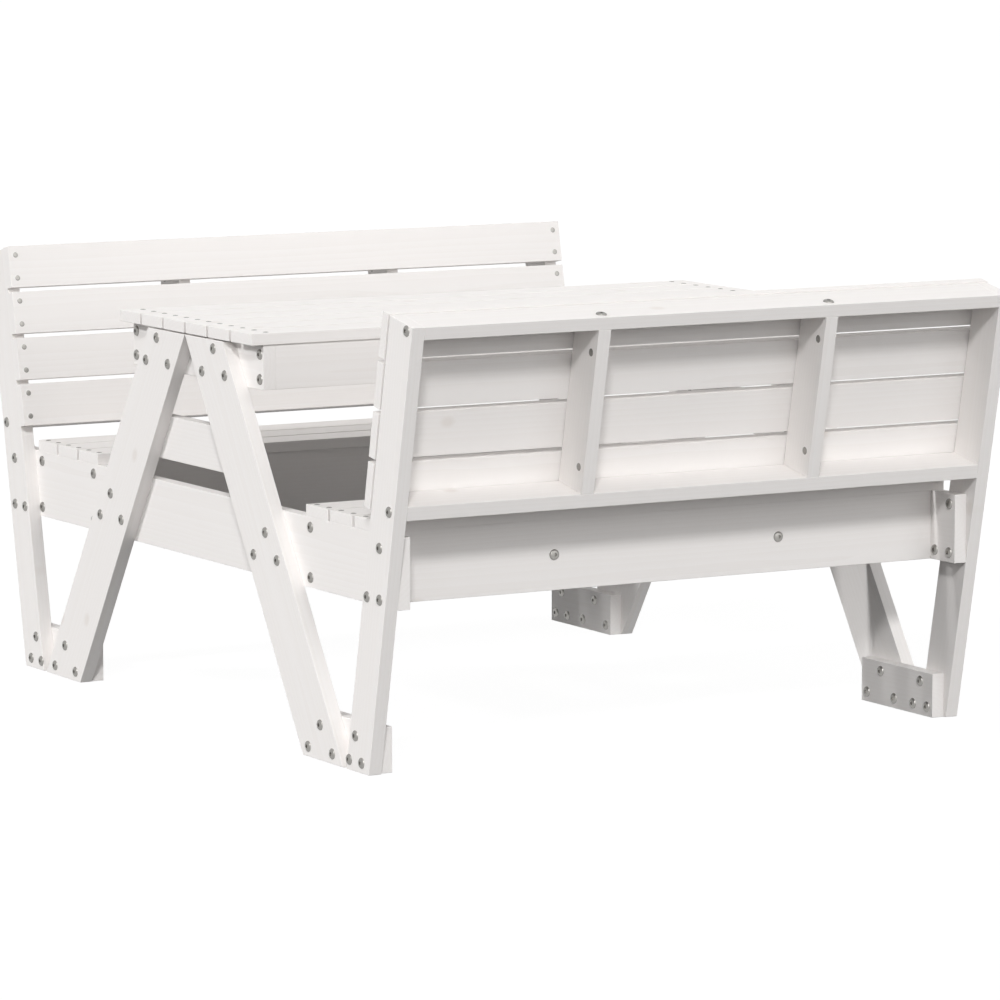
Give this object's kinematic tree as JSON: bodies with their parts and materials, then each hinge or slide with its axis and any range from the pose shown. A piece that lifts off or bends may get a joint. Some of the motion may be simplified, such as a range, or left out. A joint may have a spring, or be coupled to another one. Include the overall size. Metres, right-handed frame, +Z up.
{
  "type": "children's picnic table",
  "caption": "Children's wooden picnic table with a slatted top and two slatted benches with leaning backrests, on bolted end frames of slanted, tied legs and posts.",
  "frame": {"origin": "middle of the table on the floor, halfway between the two benches and the two end frames", "axes": "+X along the slats, +Y across the table from the near bench to the far bench, +Z up"},
  "size_m": [0.885, 1.2184, 0.5801],
  "materials": {
    "painted_pine": "matt white paint over planed pine, faint grain and knots",
    "steel": "zinc plated, satin"
  },
  "bodies": {
    "root": {"back_bottom_rail_front": "painted_pine", "back_bottom_rail_rear": "painted_pine", "back_divider_front_left": "painted_pine", "back_divider_front_right": "painted_pine", "back_divider_rear_left": "painted_pine", "back_divider_rear_right": "painted_pine", "back_post_front_left": "painted_pine", "back_post_front_right": "painted_pine", "back_post_rear_left": "painted_pine", "back_post_rear_right": "painted_pine", "back_slat_1_front": "painted_pine", "back_slat_1_rear": "painted_pine", "back_slat_2_front": "painted_pine", "back_slat_2_rear": "painted_pine", "back_slat_3_front": "painted_pine", "back_slat_3_rear": "painted_pine", "back_slat_4_front": "painted_pine", "back_slat_4_rear": "painted_pine", "back_top_rail_front": "painted_pine", "back_top_rail_rear": "painted_pine", "barrel_nuts": "steel", "cap_nuts": "steel", "connector_bolts": "steel", "foot_block_front_left": "painted_pine", "foot_block_front_right": "painted_pine", "foot_block_rear_left": "painted_pine", "foot_block_rear_right": "painted_pine", "frame_bolts": "steel", "leg_front_left": "painted_pine", "leg_front_right": "painted_pine", "leg_rear_left": "painted_pine", "leg_rear_right": "painted_pine", "leg_tie_left": "painted_pine", "leg_tie_right": "painted_pine", "seat_beam_left": "painted_pine", "seat_beam_right": "painted_pine", "seat_inner_apron_front": "painted_pine", "seat_inner_apron_rear": "painted_pine", "seat_outer_apron_front": "painted_pine", "seat_outer_apron_rear": "painted_pine", "seat_slat_1_front": "painted_pine", "seat_slat_1_rear": "painted_pine", "seat_slat_2_front": "painted_pine", "seat_slat_2_rear": "painted_pine", "seat_slat_3_front": "painted_pine", "seat_slat_3_rear": "painted_pine", "seat_support_front_left": "painted_pine", "seat_support_front_right": "painted_pine", "seat_support_rear_left": "painted_pine", "seat_support_rear_right": "painted_pine", "table_apron_front": "painted_pine", "table_apron_rear": "painted_pine", "table_end_rail_left": "painted_pine", "table_end_rail_right": "painted_pine", "table_slat_1": "painted_pine", "table_slat_2": "painted_pine", "table_slat_3": "painted_pine", "table_slat_4": "painted_pine", "table_slat_5": "painted_pine", "table_slat_6": "painted_pine"}
  },
  "joints": []
}
